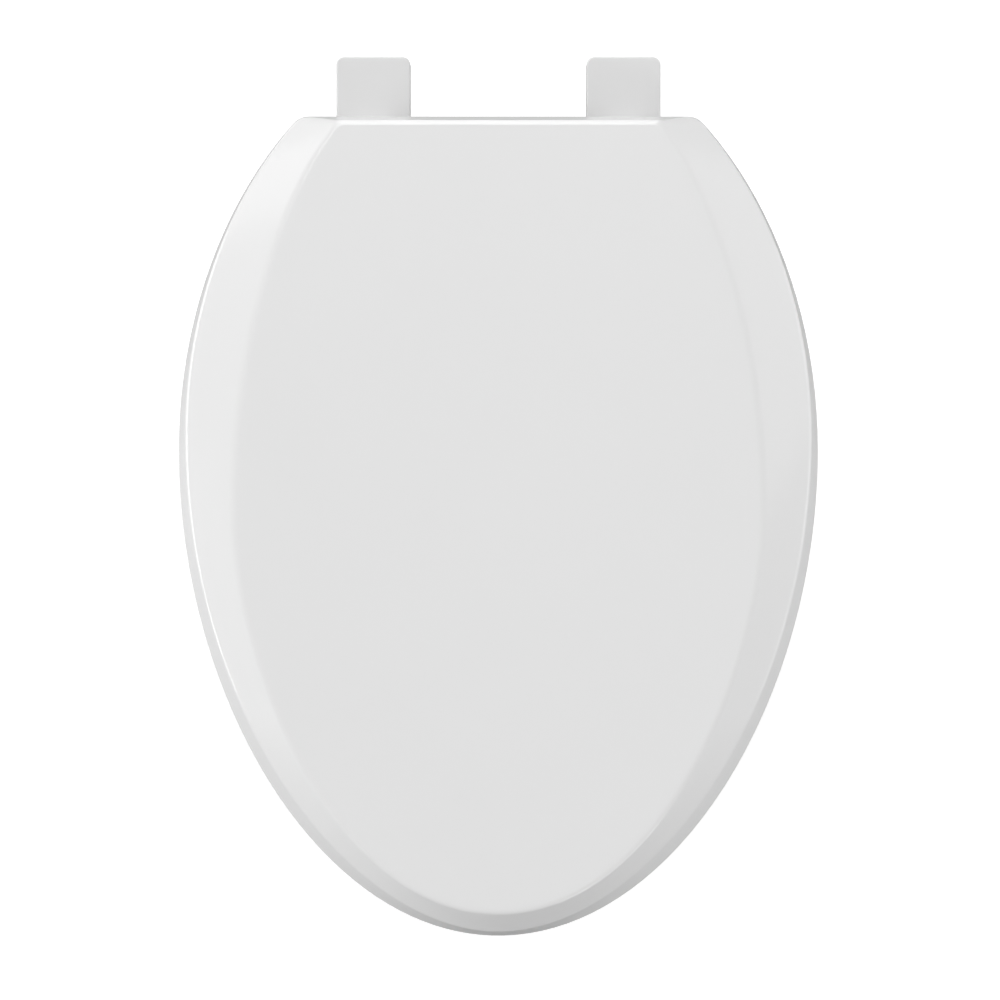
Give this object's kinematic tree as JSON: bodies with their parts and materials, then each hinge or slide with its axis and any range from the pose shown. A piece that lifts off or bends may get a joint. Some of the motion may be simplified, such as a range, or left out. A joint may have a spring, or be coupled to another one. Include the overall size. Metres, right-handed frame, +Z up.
{
  "type": "toilet seat",
  "caption": "Elongated white plastic toilet seat with a bevelled lid over a hollow ring, hinged at the rear on deck bolts under flip-up covers",
  "frame": {"origin": "midway between the two deck bolts, on the deck plane under the hinge pads", "axes": "X across the seat, -Y towards the seat's front, Z up from the bowl's deck"},
  "size_m": [0.355, 0.4892, 0.116],
  "materials": {
    "seat_plastic": "polished white moulding",
    "hinge_plastic": "white moulding",
    "bolt_nylon": "natural moulded nylon",
    "pin_steel": "drawn stainless pin",
    "bumper_rubber": "soft white rubber",
    "soft_rubber": "dark grey rubber"
  },
  "bodies": {
    "base": {"hinge_base_left": "hinge_plastic", "hinge_base_right": "hinge_plastic", "foot_pad_left": "soft_rubber", "foot_pad_right": "soft_rubber", "hinge_pin_left": "pin_steel", "hinge_pin_right": "pin_steel", "mounting_bolt_left": "bolt_nylon", "mounting_bolt_right": "bolt_nylon"},
    "ring": {"seat_ring": "seat_plastic", "ring_bumper_front_left": "bumper_rubber", "ring_bumper_front_right": "bumper_rubber", "ring_bumper_rear_left": "bumper_rubber", "ring_bumper_rear_right": "bumper_rubber"},
    "lid": {"lid": "seat_plastic", "lid_bumper_left": "bumper_rubber", "lid_bumper_right": "bumper_rubber"},
    "cover_left": {"hinge_cover_left": "hinge_plastic"},
    "cover_right": {"hinge_cover_right": "hinge_plastic"},
    "nut_left": {"wing_nut_left": "bolt_nylon", "washer_left": "soft_rubber"},
    "nut_right": {"wing_nut_right": "bolt_nylon", "washer_right": "soft_rubber"}
  },
  "joints": [
    {"name": "ring_hinge", "type": "hinge", "parent": "base", "child": "ring", "pos_m": [0, -0.0245, 0.029], "axis": [1, 0, 0], "range_deg": [-95, 0]},
    {"name": "lid_hinge", "type": "hinge", "parent": "ring", "child": "lid", "pos_m": [0, -0.0245, 0.029], "axis": [-1, 0, 0], "range_deg": [0, 100]},
    {"name": "cover_left_flip", "type": "hinge", "parent": "base", "child": "cover_left", "pos_m": [-0.06985, 0.0126, 0.0109], "axis": [-1, 0, 0], "range_deg": [0, 90]},
    {"name": "cover_right_flip", "type": "hinge", "parent": "base", "child": "cover_right", "pos_m": [0.06985, 0.0126, 0.0109], "axis": [-1, 0, 0], "range_deg": [0, 90]},
    {"name": "nut_left_travel", "type": "slide", "parent": "base", "child": "nut_left", "axis": [0, 0, -1], "range_m": [-0.01, 0.032]},
    {"name": "nut_right_travel", "type": "slide", "parent": "base", "child": "nut_right", "axis": [0, 0, -1], "range_m": [-0.01, 0.032]}
  ]
}
